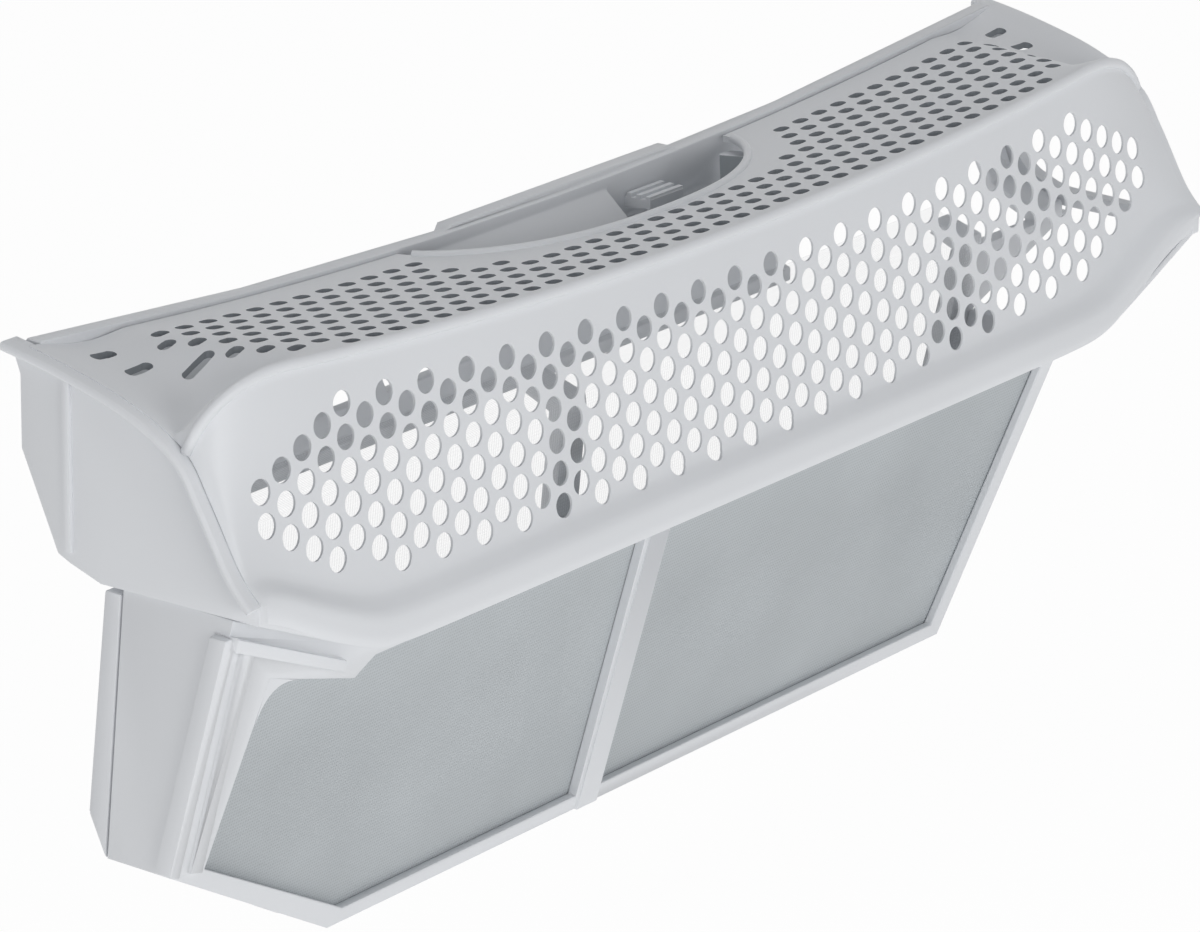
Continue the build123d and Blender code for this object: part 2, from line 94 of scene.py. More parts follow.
def new_material(name):
    """An empty material and its node tree."""
    material = bpy.data.materials.new(name)
    material.use_nodes = True
    material.node_tree.nodes.clear()
    return material, material.node_tree


def new_piece(name, shape, materials):
    """A finished bmesh as an object in the scene, at the origin."""
    mesh = bpy.data.meshes.new(name)
    shape.to_mesh(mesh)
    shape.free()
    piece = bpy.data.objects.new(name, mesh)
    bpy.context.scene.collection.objects.link(piece)
    for material in materials:
        mesh.materials.append(material)
    return piece


card_material, tree = new_material("white matt card")
path = add_node(tree, "ShaderNodeLightPath")
card = add_node(tree, "ShaderNodeBsdfDiffuse", {"Color": colour("fcfcfc")})
glow = add_node(tree, "ShaderNodeEmission", {"Color": colour("ffffff"), "Strength": 1.0})
share = add_node(tree, "ShaderNodeMapRange", {"To Min": FLOOR_GLOW, "To Max": FLOOR_GLOW_SEEN},
                 {"Value": path.outputs["Is Camera Ray"]})
mixed = add_node(tree, "ShaderNodeMixShader",
                 links={0: share.outputs[0], 1: card.outputs[0], 2: glow.outputs[0]})
add_node(tree, "ShaderNodeOutputMaterial", links={"Surface": mixed.outputs[0]})
floor = bmesh.new()
bmesh.ops.create_grid(floor, x_segments=1, y_segments=1, size=FLOOR_HALF)
bmesh.ops.translate(floor, verts=floor.verts, vec=(0, 0, cad_box[0].z - FLOOR_CLEAR * MM))
new_piece("studio_floor", floor, [card_material])

world = bpy.data.worlds.new("even sky")
bpy.context.scene.world = world
world.use_nodes = True
tree = world.node_tree
tree.nodes.clear()
path = add_node(tree, "ShaderNodeLightPath")
straight = add_node(tree, "ShaderNodeMath", {"operation": "MAXIMUM"},
                    {0: path.outputs["Is Camera Ray"], 1: path.outputs["Is Transmission Ray"]})
seen = add_node(tree, "ShaderNodeMath", {"operation": "MAXIMUM"},
                {0: straight.outputs[0], 1: path.outputs["Is Glossy Ray"]})
sky = add_node(tree, "ShaderNodeBackground", {"Color": colour("f4f6fa"), "Strength": SKY_STRENGTH})
backdrop = add_node(tree, "ShaderNodeBackground", {"Color": colour("ffffff"), "Strength": 1.0})
mixed = add_node(tree, "ShaderNodeMixShader",
                 links={0: seen.outputs[0], 1: sky.outputs[0], 2: backdrop.outputs[0]})
add_node(tree, "ShaderNodeOutputWorld", links={"Surface": mixed.outputs[0]})

for name, place, size, power in SOFT_BOXES:
    lamp = bpy.data.lights.new(name, "AREA")
    lamp.shape = "SQUARE"
    lamp.size = size
    lamp.energy = power
    soft_box = bpy.data.objects.new(name, lamp)
    soft_box.location = place
    soft_box.rotation_euler = (LAMP_AIM - Vector(place)).to_track_quat("-Z", "Y").to_euler()
    bpy.context.scene.collection.objects.link(soft_box)

lens = bpy.data.cameras.new("camera")
lens.sensor_width = CAMERA_SENSOR
lens.lens = CAMERA_LENS
lens.clip_start = CAMERA_NEAR
camera = bpy.data.objects.new("camera", lens)
turn = Euler((math.radians(90 - CAMERA_RAISE), 0, math.radians(CAMERA_TURN))).to_matrix()
turn = turn @ Matrix.Rotation(math.radians(CAMERA_ROLL), 3, "Z")
camera.matrix_world = Matrix.Translation(CAMERA_PLACE) @ turn.to_4x4()
bpy.context.scene.collection.objects.link(camera)
bpy.context.scene.camera = camera
bpy.context.scene.view_settings.view_transform = "Standard"

# Shell: the perforated front panel and the saddle-shaped top, one thin moulding of polypropylene.
# Its lower edge flares into the band, and its crease is a fine bead that rounds down to the rims.
# The holes and slots are moulded through, and the grip is an opening at the rear edge.
housing_low, housing_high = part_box("housing_body")
SKIRT_DROP, SKIRT_RUN, SKIRT_BLEND = 15.2, 35.0, 30
FRONT = housing_low.y / MM
SEAT = housing_low.z / MM + SKIRT_DROP
RIM_FLANGE, CHEEK = 2.6, 2.4
HALF = housing_high.x / MM - RIM_FLANGE
SHELL_GAP = 0.3
SHELL_HALF = HALF - SHELL_GAP
PANEL_WALL, TOP_WALL = 0.5, 1.3
PANEL_FOOT, PANEL_LEAN = 4.2, 0.148
TOP_FRONT, TOP_REAR, TOP_HEIGHT, TOP_FALL = 9.2, 52.4, 35.6, 0.07
SADDLE_SPREAD = 2900
# The rim of an end cheek, as places back from the front edge and up from the seat.
RIM = [(0, 3.8), (5.0, 9.2), (11.6, 20.4), (17.4, 28.6), (29.0, 34.6), (45.0, 38.8), (58.0, 41.0)]
RIM_SPANS = len(RIM) - 1


def at(x, y, z):
    """A place in metres from millimetres: x along, y back from the front edge, z up from the seat."""
    return Vector((x, FRONT + y, SEAT + z)) * MM


def ease(f):
    """A share from 0 to 1 that starts and ends gently."""
    f = min(max(f, 0), 1)
    return f * f * (3 - 2 * f)


def saddle(x):
    """How much higher the top lies here than at the middle of its length."""
    return x * x / SADDLE_SPREAD


def skirt(x):
    """Height of the band's lower edge: level along the middle and rising to both ends."""
    past = abs(x) - (HALF - SKIRT_RUN)
    past = 0.5 * (past + math.sqrt(past * past + SKIRT_BLEND))
    return past * SKIRT_DROP / SKIRT_RUN - SKIRT_DROP


def panel_y(z):
    """How far back the leaning panel lies at a height."""
    return PANEL_FOOT + PANEL_LEAN * z


def rim_point(f):
    """A point of the end cheek's rim, f counted in the rim's own points, on a smooth curve."""
    i = min(max(int(f), 0), RIM_SPANS - 1)
    p = [Vector(RIM[min(max(k, 0), RIM_SPANS)]) for k in range(i - 1, i + 3)]
    s = f - i
    return 0.5 * (2 * p[1] + (p[2] - p[0]) * s + (2 * p[0] - 5 * p[1] + 4 * p[2] - p[3]) * s * s
                  + (3 * p[1] - p[0] - 3 * p[2] + p[3]) * s ** 3)


# The shell's section: a curled lower edge, a flare, the panel, a crease with a slight swell, and the top.
EDGE_CURL, EDGE_RISE = 0.8, 2.6
FLARE_START, FLARE_RISE = 0.4, 7.4
PANEL_RISE = EDGE_RISE + FLARE_RISE
CREASE_DROP, CREASE_BACK, CREASE_PULL = 1.7, 1.5, (-0.2, 0.1)
SWELL, SWELL_RATE, SWELL_HOLD, SWELL_FADE = 0.4, 4, 0.3, 3
# Each stretch of the section has its number of rows and its run along the rim, in the rim's points.
FLARE_END, CREASE_START, CREASE_END, TOP_END = 0.55, 2.9, 3.05, 5.57
STRETCHES = (
    ("edge", 4, 0, 0),
    ("flare", 8, 0, FLARE_END),
    ("panel", 24, FLARE_END, CREASE_START),
    ("crease", 12, CREASE_START, CREASE_END),
    ("top", 34, CREASE_END, TOP_END),
)
rows = [(kind, k / count, first + (last - first) * k / count)
        for kind, count, first, last in STRETCHES for k in range(count)]
rows.append(("top", 1.0, TOP_END))


def middle_point(kind, f, x):
    """A point of the shell's section away from its ends, as a place back and a height."""
    low = skirt(x)
    high = TOP_HEIGHT + saddle(x)
    panel_high = high - CREASE_DROP
    back = panel_y(high) + CREASE_BACK
    if kind == "edge":
        return Vector((EDGE_CURL * (1 - f) ** 2, low + EDGE_RISE * f))
    if kind == "flare":
        z = low + EDGE_RISE + FLARE_RISE * f
        return Vector((panel_y(z) * ease((f - FLARE_START) / (1 - FLARE_START)), z))
    if kind == "panel":
        z = low + PANEL_RISE + (panel_high - low - PANEL_RISE) * f
        return Vector((panel_y(z), z))
    if kind == "crease":
        below = Vector((panel_y(panel_high), panel_high))
        corner = Vector((panel_y(high), high)) + Vector(CREASE_PULL)
        above = Vector((back, high - TOP_FALL * (back - TOP_FRONT)))
        swell = SWELL * ease(f * SWELL_RATE) * (1 - ease((f - SWELL_HOLD) * SWELL_FADE))
        return below * (1 - f) ** 2 + corner * 2 * f * (1 - f) + above * f * f - Vector((swell, 0))
    y = back + (TOP_REAR - back) * f
    return Vector((y, high - TOP_FALL * (y - TOP_FRONT)))


# Where the section starts to round into each rim: first backwards, and a little later downwards.
ROUND_LEFT, ROUND_RIGHT, ROUND_LATER = 126, 116, 5
BACK_POWER, DOWN_POWER = 2.2, 1.9
TIP_SHIFT, TIP_RISE = -0.15, 0.2
# The top runs down to the rims in a valley of its own, with a hollow beside each rim.
VALLEY_START, VALLEY_LATER, VALLEY_BLEND = 117, 8, 0.12
HOLLOW_PLACE, HOLLOW_REACH, HOLLOW_DEPTH = 139.0, 13.0, 3.6
HOLLOW_BLEND, HOLLOW_FADE = 0.3, 0.5


def rounding(x, start, right_power):
    """Nought up to the start, then a quarter round at the left end and a slower curve at the right end."""
    f = min(max((abs(x) - start) / (SHELL_HALF - start), 0), 1)
    return 1 - math.sqrt(1 - f * f) if x < 0 else f ** right_power


def shell_point(kind, f, rim_f, x):
    """A point of the shell: its middle section, which rounds into the rim towards both ends."""
    middle = middle_point(kind, f, x)
    tip = rim_point(rim_f) + Vector((TIP_SHIFT, TIP_RISE))
    if kind == "edge":
        tip = Vector((EDGE_CURL * (1 - f) ** 2, TIP_RISE + EDGE_RISE * f))
    start = ROUND_LEFT if x < 0 else ROUND_RIGHT
    across = rounding(x, start, BACK_POWER)
    down = rounding(x, start + ROUND_LATER, DOWN_POWER)
    sink = 0
    if kind == "top":
        valley_start = VALLEY_START + VALLEY_LATER * f
        valley = ease((abs(x) - valley_start) / (SHELL_HALF - valley_start))
        across += (valley - across) * ease(f / VALLEY_BLEND)
        down += (valley - down) * ease(f / VALLEY_BLEND)
        hollow = max(1 - ((abs(x) - HOLLOW_PLACE) / HOLLOW_REACH) ** 2, 0) ** 2
        sink = HOLLOW_DEPTH * hollow * ease(f / HOLLOW_BLEND) * (1 - HOLLOW_FADE * ease(f))
    return at(x, middle.x + (tip.x - middle.x) * across, middle.y + (tip.y - middle.y) * down - sink)


GRAIN_SIZE, DRIFT_SIZE, GRAIN_DEPTH = 0.6, 45, 0.05


def moulded(name, low_code, high_code):
    """Moulded polypropylene: a soft sheen from its fine grain, and a tint that drifts between two colours.

    The grain is drawn coarser than the real one, so that it shows.
    """
    material, tree = new_material(name)
    spot = add_node(tree, "ShaderNodeTexCoord")
    grain = add_node(tree, "ShaderNodeTexNoise",
                     {"Scale": 1 / (GRAIN_SIZE * MM), "Detail": 3.0, "Roughness": 0.6},
                     {"Vector": spot.outputs["Object"]})
    drift = add_node(tree, "ShaderNodeTexNoise", {"Scale": 1 / (DRIFT_SIZE * MM), "Detail": 2.0},
                     {"Vector": spot.outputs["Object"]})
    tint = add_node(tree, "ShaderNodeMix", {"data_type": "RGBA", 6: colour(low_code), 7: colour(high_code)},
                    {0: drift.outputs["Fac"]})
    sheen = add_node(tree, "ShaderNodeMapRange",
                     {"From Min": 0.3, "From Max": 0.7, "To Min": 0.4, "To Max": 0.5},
                     {"Value": grain.outputs["Fac"]})
    bump = add_node(tree, "ShaderNodeBump", {"Strength": 0.12, "Distance": GRAIN_DEPTH * MM},
                    {"Height": grain.outputs["Fac"]})
    skin = add_node(tree, "ShaderNodeBsdfPrincipled", {"IOR": 1.49},
                    {"Base Color": tint.outputs[2], "Roughness": sheen.outputs[0], "Normal": bump.outputs[0]})
    add_node(tree, "ShaderNodeOutputMaterial", links={"Surface": skin.outputs[0]})
    return material


# The walls of the slots have a darker tint, painted shade which stands for the shade in them.
plastic = moulded("moulded polypropylene", "dddfe2", "e4e6e9")
shade = moulded("polypropylene with painted shade in the slots", "878c91", "8f9499")

COLUMNS, COLUMN_SPREAD = 260, 0.12


def column_x(even):
    """A place along the shell from an even share, -1 to 1, with columns closer towards both ends."""
    return SHELL_HALF * (even + COLUMN_SPREAD * math.sin(math.pi * even))


shell = bmesh.new()
grid = bmesh.ops.create_grid(shell, x_segments=COLUMNS, y_segments=len(rows) - 1, size=1.0)["verts"]
shell.verts.index_update()
top_verts = []
for vert in grid:
    row = rows[round((vert.co.y + 1) / 2 * (len(rows) - 1))]
    vert.co = shell_point(*row, column_x(vert.co.x))
    if row[0] == "top":
        top_verts.append(vert.index)
bmesh.ops.recalc_face_normals(shell, faces=shell.faces)
shell_piece = new_piece("shell", shell, [plastic, shade])
thick = shell_piece.vertex_groups.new(name="thick")
thick.add(top_verts, 1.0, "REPLACE")
wall = shell_piece.modifiers.new("wall", "SOLIDIFY")
wall.thickness = TOP_WALL * MM
wall.vertex_group = "thick"
wall.thickness_vertex_group = PANEL_WALL / TOP_WALL
wall.offset = -1

# Holes: staggered columns that follow the saddle, fewer in a column towards both ends.
HOLE_RADIUS, HOLE_PITCH, HOLE_RISE, HOLE_SIDES, HOLE_CUT = 2.4, 11.7, 6.1, 20, 14
HOLE_FIRST, HOLE_COLUMNS, HOLE_LOW, HOLE_HIGH = -142.9, 49, -4.5, 26.6
HOLE_END, HOLE_END_SLOPE = 119, 0.42
lean = Matrix.Rotation(math.pi / 2 - math.atan(PANEL_LEAN), 4, "X")
cutters = bmesh.new()
for column in range(HOLE_COLUMNS):
    x = HOLE_FIRST + column * HOLE_PITCH / 2
    inset = max(0, abs(x) - HOLE_END) * HOLE_END_SLOPE
    level = HOLE_LOW + (HOLE_RISE / 2 if column % 2 else 0)
    while level <= HOLE_HIGH - inset:
        if level >= HOLE_LOW + inset:
            z = level + saddle(x)
            hole = Matrix.Translation(at(x, panel_y(z), z)) @ lean
            bmesh.ops.create_cone(cutters, cap_ends=True, segments=HOLE_SIDES, radius1=HOLE_RADIUS * MM,
                                  radius2=HOLE_RADIUS * MM, depth=HOLE_CUT * MM, matrix=hole)
        level += HOLE_RISE

# Slots: staggered rows behind the crease and round the grip, with three larger slots at each end.
SLOT_LENGTH, SLOT_WIDTH, SLOT_SIDES, SLOT_CUT = 3.9, 2.6, 16, 26
SLOT_PITCH, SLOT_ROW, SLOT_ROWS, SLOT_FIRST, SLOT_REACH = 6.55, 4.4, 8, 13.4, 137.5
SLOT_FRONT, SLOT_CORNER, SLOT_CORNER_SLOPE = 13, 112, 0.45
SLOT_END, SLOT_END_SLOPE, SLOT_MIDDLE = 122, 0.25, 0.01
END_SLOTS = [(-141.4, 45.6, 6.0), (-140.3, 38.2, 6.4), (-133.0, 30.6, 7.6)]
GRIP_CENTRE, GRIP_LENGTH, GRIP_WIDTH = 1.5, 104.0, 23.0
GRIP_LAND, GRIP_LAND_SWEEP, GRIP_LAND_END = 2.6, 8, 1.06
grip_front = TOP_REAR - GRIP_WIDTH
slot_spots = END_SLOTS + [(-x, y, length) for x, y, length in END_SLOTS]
for row in range(SLOT_ROWS):
    y = SLOT_FIRST + SLOT_ROW * row
    x = (SLOT_PITCH / 2 if row % 2 else 0) - SLOT_REACH
    while x < SLOT_REACH:
        across = abs(x - GRIP_CENTRE) / (GRIP_LENGTH / 2)
        over_grip = across < GRIP_LAND_END and y > grip_front - GRIP_LAND + GRIP_LAND_SWEEP * across ** 4
        past_crease = y > SLOT_FRONT + SLOT_CORNER_SLOPE * max(abs(x) - SLOT_CORNER, 0)
        if past_crease and not over_grip and abs(x) < SLOT_END + SLOT_END_SLOPE * y:
            slot_spots.append((x, y, SLOT_LENGTH))
        x += SLOT_PITCH
for x, y, length in slot_spots:
    slot = Matrix.Translation(at(x, y, TOP_HEIGHT + saddle(x)))
    made = bmesh.ops.create_cone(cutters, cap_ends=True, segments=SLOT_SIDES, radius1=SLOT_WIDTH / 2 * MM,
                                 radius2=SLOT_WIDTH / 2 * MM, depth=SLOT_CUT * MM, matrix=slot)["verts"]
    # The slots' cutters carry the second material, so the slots' walls get the painted shade.
    for face in {face for vert in made for face in vert.link_faces}:
        face.material_index = 1
    stretch = (length - SLOT_WIDTH) / 2 * MM
    for vert in made:
        past = vert.co.x - x * MM
        if abs(past) > SLOT_MIDDLE * MM:
            vert.co.x += math.copysign(stretch, past)

# Grip opening: a boat-shaped cut that runs out over the rear edge.
GRIP_BOW, GRIP_FULLNESS, GRIP_STEPS = 2.6, 0.62, 24
GRIP_CUT_LOW, GRIP_CUT_HIGH, GRIP_CUT_REAR = 24, 46, TOP_REAR + 4


def grip_line(share, steps):
    """Places along and back on the boat-shaped edge of the grip, over a share of its length."""
    line = []
    for k in range(-steps, steps + 1):
        x = GRIP_CENTRE + share * GRIP_LENGTH / 2 * math.sin(math.pi / 2 * k / steps)
        across = min(abs(x - GRIP_CENTRE) / (GRIP_LENGTH / 2), 1)
        line.append((x, grip_front + GRIP_WIDTH * (1 - (1 - across ** GRIP_BOW) ** GRIP_FULLNESS)))
    return line


def prism(shape, points, place, start, end):
    """Adds a solid with the outline's points, swept between two values of the coordinate left out."""
    foot = shape.faces.new([shape.verts.new(place(a, b, start)) for a, b in points])
    swept = bmesh.ops.extrude_face_region(shape, geom=[foot])["geom"]
    head = [vert for vert in swept if isinstance(vert, bmesh.types.BMVert)]
    bmesh.ops.translate(shape, verts=head, vec=place(0, 0, end) - place(0, 0, start))
    return list({face for vert in head + list(foot.verts) for face in vert.link_faces})


opening = grip_line(1.0, GRIP_STEPS)
opening += [(opening[-1][0], GRIP_CUT_REAR), (opening[0][0], GRIP_CUT_REAR)]
prism(cutters, opening, at, GRIP_CUT_LOW, GRIP_CUT_HIGH)
bmesh.ops.recalc_face_normals(cutters, faces=cutters.faces)


def finish_mesh(piece, angle):
    """Applies a piece's modifiers, and shades it smooth except at edges sharper than the angle."""
    bpy.context.view_layer.update()
    mesh = bpy.data.meshes.new_from_object(piece.evaluated_get(bpy.context.evaluated_depsgraph_get()))
    piece.modifiers.clear()
    piece.data = mesh
    mesh.shade_smooth()
    mesh.set_sharp_from_angle(angle=math.radians(angle))


def cut_out(piece, cutter, angle):
    """Takes a cutter out of a piece, finishes the piece's mesh and removes the cutter."""
    cut = piece.modifiers.new("cut", "BOOLEAN")
    cut.object = cutter
    cut.solver = "MANIFOLD"
    finish_mesh(piece, angle)
    bpy.data.objects.remove(cutter)


SHELL_SHARP = 32
cut_out(shell_piece, new_piece("cutters", cutters, [plastic, shade]), SHELL_SHARP)

# Beads: one along the crease and one round the grip, kept inside the solids' box.
BEAD_RADIUS, BEAD_STEPS, BEAD_SIDES, BEAD_ROW = 1.1, 240, 10, 0.42
GRIP_BEAD, GRIP_BEAD_SHARE, GRIP_BEAD_STEPS = 0.9, 0.985, 40


def tube(shape, rings):
    """Adds a closed solid through rings of points, and gives its faces."""
    loops = [[shape.verts.new(point) for point in ring] for ring in rings]
    faces = [shape.faces.new(loops[0]), shape.faces.new(loops[-1])]
    for loop, following in zip(loops, loops[1:]):
        for k in range(len(loop)):
            m = (k + 1) % len(loop)
            faces.append(shape.faces.new((loop[k], loop[m], following[m], following[k])))
    return faces


def sweep_bead(shape, spine, radius):
    """Adds a round bead along a line of points."""
    turns = [2 * math.pi * m / BEAD_SIDES for m in range(BEAD_SIDES)]
    rings = []
    for k, centre in enumerate(spine):
        past = (spine[min(k + 1, len(spine) - 1)] - spine[max(k - 1, 0)]).normalized()
        side = past.cross(Vector((0, 0, 1))).normalized()
        rise = side.cross(past)
        rings.append([centre + (side * math.cos(t) + rise * math.sin(t)) * radius * MM for t in turns])
    faces = tube(shape, rings)
    bmesh.ops.recalc_face_normals(shape, faces=faces)
    for face in faces:
        face.smooth = True


shell = bmesh.new()
shell.from_mesh(shell_piece.data)
bead_rim = CREASE_START + (CREASE_END - CREASE_START) * BEAD_ROW
bead_x = [column_x(2 * k / BEAD_STEPS - 1) for k in range(BEAD_STEPS + 1)]
sweep_bead(shell, [shell_point("crease", BEAD_ROW, bead_rim, x) for x in bead_x], BEAD_RADIUS)
grip_spine = [at(x, y, TOP_HEIGHT + saddle(x) - TOP_FALL * (y - TOP_FRONT))
              for x, y in grip_line(GRIP_BEAD_SHARE, GRIP_BEAD_STEPS)]
sweep_bead(shell, grip_spine, GRIP_BEAD)
for vert in shell.verts:
    vert.co.y = max(vert.co.y, cad_box[0].y)
    vert.co.z = min(vert.co.z, cad_box[1].z)
shell.to_mesh(shell_piece.data)
shell.free()
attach(shell_piece, "housing")
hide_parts("front_grille", "top_cover")

# Housing: the two end cheeks with their rounded rim, the right one with a window, and the ledge of the band.
# One moulding of the same polypropylene, folded a little down each cheek where the wall turns to the rear.
# A fine rib runs down the fold of the left cheek.
REAR = RIM[-1][0]
BACK = [(55.4, 35.0), (55.4, 21.2), (46.2, 3.5)]
UNDERSIDE = [(36.0, 0), (0, 0)]
FOLD_Y, FOLD_HIGH, FOLD_LOW, FOLD_PROUD = 43.0, 38.3, 2.4, 1.5
RIM_STEPS = 4
RIB_WIDTH, RIB_PROUD, RIB_LOW, RIB_HIGH = 1.8, 0.8, 4.6, 37.2
LEDGE_WALL, LEDGE_FRONT, LEDGE_BACK, LEDGE_STEPS = 1.8, PANEL_WALL + 0.2, 10.2, 60
HOUSING_ROUND, HOUSING_EDGE = 0.45, 0.7
housing = bmesh.new()
rim_line = [rim_point(k / RIM_STEPS) for k in range(RIM_SPANS * RIM_STEPS + 1)]
before_fold = [point for point in rim_line if point.x < FOLD_Y]
behind_fold = [point for point in rim_line if point.x > FOLD_Y]
cheek = before_fold + [(FOLD_Y, FOLD_HIGH)] + behind_fold + BACK + [(FOLD_Y, FOLD_LOW)] + UNDERSIDE
fold_top, fold_foot = len(before_fold), len(cheek) - len(UNDERSIDE) - 1
# The outer side of a cheek stands proud at its fold, and comes in towards the front and the rear.
for side in (-1, 1):
    inner = [housing.verts.new(at(side * (HALF - CHEEK), y, z)) for y, z in cheek]
    outer = []
    for y, z in cheek:
        proud = FOLD_PROUD * (y / FOLD_Y if y < FOLD_Y else (REAR - y) / (REAR - FOLD_Y))
        outer.append(housing.verts.new(at(side * (HALF + proud), y, z)))
    housing.faces.new(inner)
    housing.faces.new(outer[fold_top:fold_foot + 1])
    housing.faces.new(outer[:fold_top + 1] + outer[fold_foot:])
    for k in range(len(cheek)):
        m = (k + 1) % len(cheek)
        housing.faces.new((inner[m], inner[k], outer[k], outer[m]))
rib_outer = HALF + FOLD_PROUD + RIB_PROUD
rib = [(-HALF, FOLD_Y - RIB_WIDTH / 2), (-HALF, FOLD_Y + RIB_WIDTH / 2),
       (-rib_outer, FOLD_Y + RIB_WIDTH / 2), (-rib_outer, FOLD_Y - RIB_WIDTH / 2)]
prism(housing, rib, at, RIB_LOW, RIB_HIGH)
ledge_x = [HALF * k / LEDGE_STEPS for k in range(-LEDGE_STEPS, LEDGE_STEPS + 1)]
ledge = [(x, skirt(x)) for x in ledge_x]
ledge += [(x, z + LEDGE_WALL) for x, z in reversed(ledge)]
prism(housing, ledge, lambda x, z, y: at(x, y, z), LEDGE_FRONT, LEDGE_BACK)
bmesh.ops.recalc_face_normals(housing, faces=housing.faces)
sharp = [e for e in housing.edges if len(e.link_faces) == 2 and e.calc_face_angle() > HOUSING_EDGE]
bmesh.ops.bevel(housing, geom=sharp, offset=HOUSING_ROUND * MM, segments=2, profile=0.5, affect="EDGES",
                material=-1)

# Flange: a lip with a round outer edge that follows the rim of each cheek.
LIP_STEPS, LIP_WALL, LIP_TUCK, LIP_BREAK, LIP_BREAK_DOWN = 8, 1.7, 0.02, 0.4, 0.35
FLANGE_STEPS, FLANGE_NEAR = 72, 0.01
lip_inner, lip_centre = HALF - CHEEK + LIP_TUCK, HALF + RIM_FLANGE - LIP_WALL / 2
lip = [(lip_inner, -LIP_WALL), (lip_inner, -LIP_BREAK_DOWN), (HALF - CHEEK + LIP_BREAK, 0)]
for m in range(LIP_STEPS + 1):
    turn = math.pi * m / LIP_STEPS
    lip.append((lip_centre + math.sin(turn) * LIP_WALL / 2, (math.cos(turn) - 1) * LIP_WALL / 2))
for side in (-1, 1):
    rings = []
    for k in range(FLANGE_STEPS + 1):
        f = RIM_SPANS * k / FLANGE_STEPS
        past = rim_point(f + FLANGE_NEAR) - rim_point(f - FLANGE_NEAR)
        out = Vector((-past.y, past.x)).normalized()
        rings.append([at(side * x, *(rim_point(f) + out * rise)) for x, rise in lip])
    tube(housing, rings)
for vert in housing.verts:
    vert.co.y = min(vert.co.y, cad_box[1].y)
bmesh.ops.recalc_face_normals(housing, faces=housing.faces)
housing_piece = new_piece("housing", housing, [plastic])

# Window of the right cheek, with rounded corners.
WINDOW = [(13.0, 3.4), (13.0, 16.0), (19.6, 25.0), (30.0, 30.2), (44.0, 33.6),
          (50.4, 33.6), (50.4, 20.6), (43.0, 6.6), (35.0, 3.4)]
WINDOW_ROUND, WINDOW_PAST = 2.5, 2
MOULDING_SHARP = 30
window = bmesh.new()
prism(window, WINDOW, lambda y, z, x: at(x, y, z), HALF - CHEEK - WINDOW_PAST, HALF + WINDOW_PAST)
corners = [e for e in window.edges if abs(e.verts[0].co.x - e.verts[1].co.x) > MM]
bmesh.ops.bevel(window, geom=corners, offset=WINDOW_ROUND * MM, segments=4, profile=0.5, affect="EDGES",
                material=-1)
bmesh.ops.recalc_face_normals(window, faces=window.faces)
cut_out(housing_piece, new_piece("window", window, [plastic]), MOULDING_SHARP)
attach(housing_piece, "housing")
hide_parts("housing_body")

# Grip cup: the boat-shaped finger tray under the opening in the top, with the deeper well at its right.
# Moulded polypropylene, welded under the shell, with its edges broken as they leave the mould.
# Its steep inner walls have a darker tint, painted shade which stands for the shade in the recess.
MOULD_ROUND, MOULD_EDGE, MOULD_SHORT = 0.4, 0.6, 3.2
MOULD_WELD, MOULD_FLAT = 0.004, 0.03
STEEP, CUP_BACK = 0.6, TOP_REAR - 10
recess = moulded("polypropylene with painted shade in the recess", "a2a8ac", "aab0b4")


def softened(name, reshape=None):
    """A copy of a solid, reshaped where asked, whose longer sharp edges are rounded."""
    shape = bmesh.new()
    shape.from_mesh(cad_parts[name].data)
    if reshape:
        reshape(shape)
    bmesh.ops.remove_doubles(shape, verts=shape.verts, dist=MOULD_WELD * MM)
    bmesh.ops.dissolve_limit(shape, angle_limit=MOULD_FLAT, verts=shape.verts, edges=shape.edges)
    short = MOULD_SHORT * MOULD_ROUND * MM
    blunt = {v for e in shape.edges if e.calc_length() < short for v in e.verts}
    edges = [e for e in shape.edges
             if len(e.link_faces) == 2 and e.calc_face_angle() > MOULD_EDGE and not blunt & set(e.verts)]
    bmesh.ops.bevel(shape, geom=edges, offset=MOULD_ROUND * MM, segments=2, profile=0.5, affect="EDGES",
                    material=-1)
    bmesh.ops.triangulate(shape, faces=[f for f in shape.faces if len(f.verts) > 4])
    return shape


def settle(name, shape, body, materials):
    """Shades a softened moulding and lets it stand for its solid on a body."""
    piece = new_piece(name + "_moulding", shape, materials)
    finish_mesh(piece, MOULDING_SHARP)
    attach(piece, body)
    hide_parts(name)


cup = softened("grip_cup")
cup.normal_update()
cup_middle = at(GRIP_CENTRE, CUP_BACK, 0)
# Steep faces inside the cup take the second material, the painted shade.
for face in cup.faces:
    past = face.calc_center_median() - cup_middle
    inside = past.x * face.normal.x + past.y * face.normal.y < 0
    face.material_index = 1 if inside and abs(face.normal.z) < STEEP else 0
settle("grip_cup", cup, "housing", [plastic, recess])

# Pocket frame: the front half of the lint pocket, with two windows, a bar between them and a bead at left.
# Moulded polypropylene, welded under the housing, with broken edges.
# A round web fills the upper left corner of the left window.
POCKET_TOP, POCKET_LEAN, POCKET_WALL = 6.1, 0.28, 2.2
WEB_CORNER, WEB_OVERLAP = Vector((-136.9, -17.0)), Vector((-0.5, 0.5))
WEB_DOWN, WEB_ALONG = Vector((-6.2, -37.2)), Vector((26.4, -8.2))
WEB_REACH, WEB_STEPS = 9.0, 10


def pocket_place(x, z, depth):
    """A place on the leaning front wall of the pocket, some way behind its face."""
    return at(x, POCKET_TOP - POCKET_LEAN * z + depth, z)


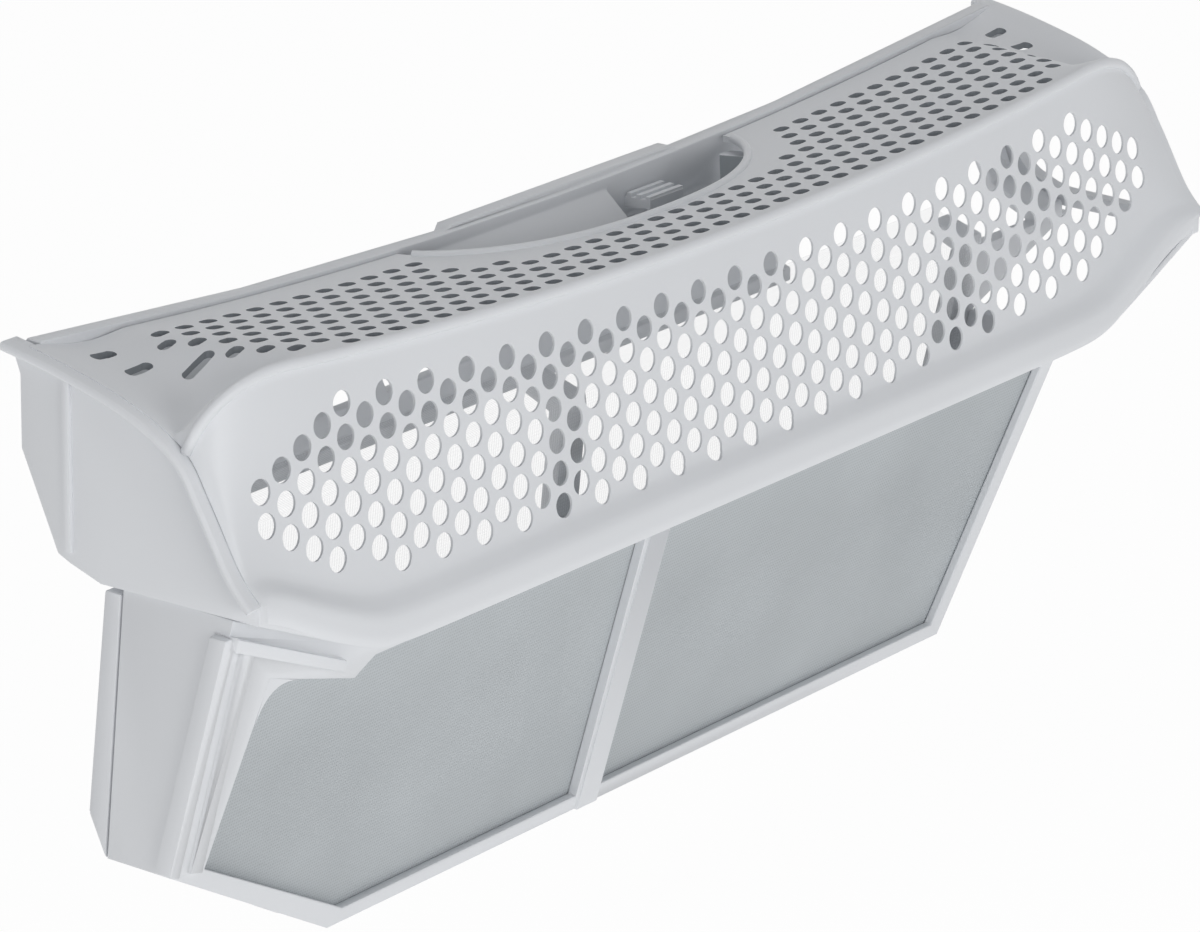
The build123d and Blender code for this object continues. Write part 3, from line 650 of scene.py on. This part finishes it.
pocket = softened("pocket_frame")
web_down, web_along = WEB_DOWN.normalized() * WEB_REACH, WEB_ALONG.normalized() * WEB_REACH
web = [WEB_CORNER + WEB_OVERLAP]
for k in range(WEB_STEPS + 1):
    f = k / WEB_STEPS
    web.append(WEB_CORNER + web_down * (1 - f) ** 2 + web_along * f ** 2)
web_faces = prism(pocket, web, pocket_place, 0, POCKET_WALL)
bmesh.ops.recalc_face_normals(pocket, faces=web_faces)
settle("pocket_frame", pocket, "housing", [plastic])

# Flap: the bent rear frame, with two mesh bays, three open bays, the top rail, the ribbed tongue and the tab.
# Moulded polypropylene, hung on two pins at the lower edge, with broken edges.
# Its tab is a low swelling, and its lower left corner is cut back.
TAB_FOOT, TAB_SINK = 33.2, 0.7
CORNER_X, CORNER_Y, CORNER_Z, CORNER_LIFT = 0.5 - HALF, 39.0, -50.0, 8.0


def ease_flap(shape):
    """Lowers what stands above the rail, and cuts back the flap's lower left corner."""
    corner = at(CORNER_X, CORNER_Y, CORNER_Z)
    for vert in shape.verts:
        proud = vert.co.z - at(0, 0, TAB_FOOT + saddle(vert.co.x / MM)).z
        vert.co.z -= max(proud, 0) * TAB_SINK
        if vert.co.x < corner.x and vert.co.y > corner.y and vert.co.z < corner.z:
            vert.co.z += CORNER_LIFT * MM


settle("rear_frame", softened("rear_frame", ease_flap), "flap", [plastic])


# Hinge pins: two short round pins on the lower rear edge, which the flap turns on.
# They keep their solids and are of the same polypropylene.
def dress(name, material):
    """Gives a material to a solid that shows as it is."""
    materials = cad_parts[name].data.materials
    materials.clear()
    materials.append(material)


dress("hinge_pins", plastic)

# Front mesh: one fine woven polyester cloth, welded behind both windows of the pocket.
# Seen from the side it looks dense and pale grey.
# Its threads lie every 0.7 mm, which is coarser than the real cloth so that they show.
THREAD, THREAD_DEPTH, FADE_SIZE = 0.7, 0.1, 30
# At a scale of 1, the wave texture's bands are this far apart.
WAVE_SPAN = 0.314159


def weave(name, code, gap, fill):
    """A matt cloth of crossed threads, which covers more at its threads than in its gaps."""
    material, tree = new_material(name)
    spot = add_node(tree, "ShaderNodeTexCoord")
    bands = [add_node(tree, "ShaderNodeTexWave",
                      {"bands_direction": axis, "Scale": WAVE_SPAN / (THREAD * MM)},
                      {"Vector": spot.outputs["Object"]}) for axis in ("X", "Z")]
    cover = add_node(tree, "ShaderNodeMath", {"operation": "MAXIMUM"},
                     {0: bands[0].outputs["Fac"], 1: bands[1].outputs["Fac"]})
    alpha = add_node(tree, "ShaderNodeMapRange",
                     {"From Min": 0.35, "From Max": 0.8, "To Min": gap, "To Max": fill},
                     {"Value": cover.outputs[0]})
    cloud = add_node(tree, "ShaderNodeTexNoise", {"Scale": 1 / (FADE_SIZE * MM), "Detail": 2.0},
                     {"Vector": spot.outputs["Object"]})
    fade = add_node(tree, "ShaderNodeMapRange", {"To Min": 0.9, "To Max": 1.1},
                    {"Value": cloud.outputs["Fac"]})
    tint = add_node(tree, "ShaderNodeMix",
                    {"data_type": "RGBA", "blend_type": "MULTIPLY", 0: 1.0, 6: colour(code)},
                    {7: fade.outputs[0]})
    bump = add_node(tree, "ShaderNodeBump", {"Strength": 0.4, "Distance": THREAD_DEPTH * MM},
                    {"Height": cover.outputs[0]})
    cloth = add_node(tree, "ShaderNodeBsdfPrincipled", {"Roughness": 0.75},
                     {"Base Color": tint.outputs[2], "Alpha": alpha.outputs[0], "Normal": bump.outputs[0]})
    add_node(tree, "ShaderNodeOutputMaterial", links={"Surface": cloth.outputs[0]})
    return material


dress("front_mesh", weave("dense woven polyester", "bcc1c4", 0.8, 0.95))

# Rear mesh: one cloth bent along the flap's slope and welded across its two lower bays.
# It is an open net of the same thread, which the light passes through.
dress("rear_mesh", weave("open polyester net", "f4f5f6", 0.01, 0.09))
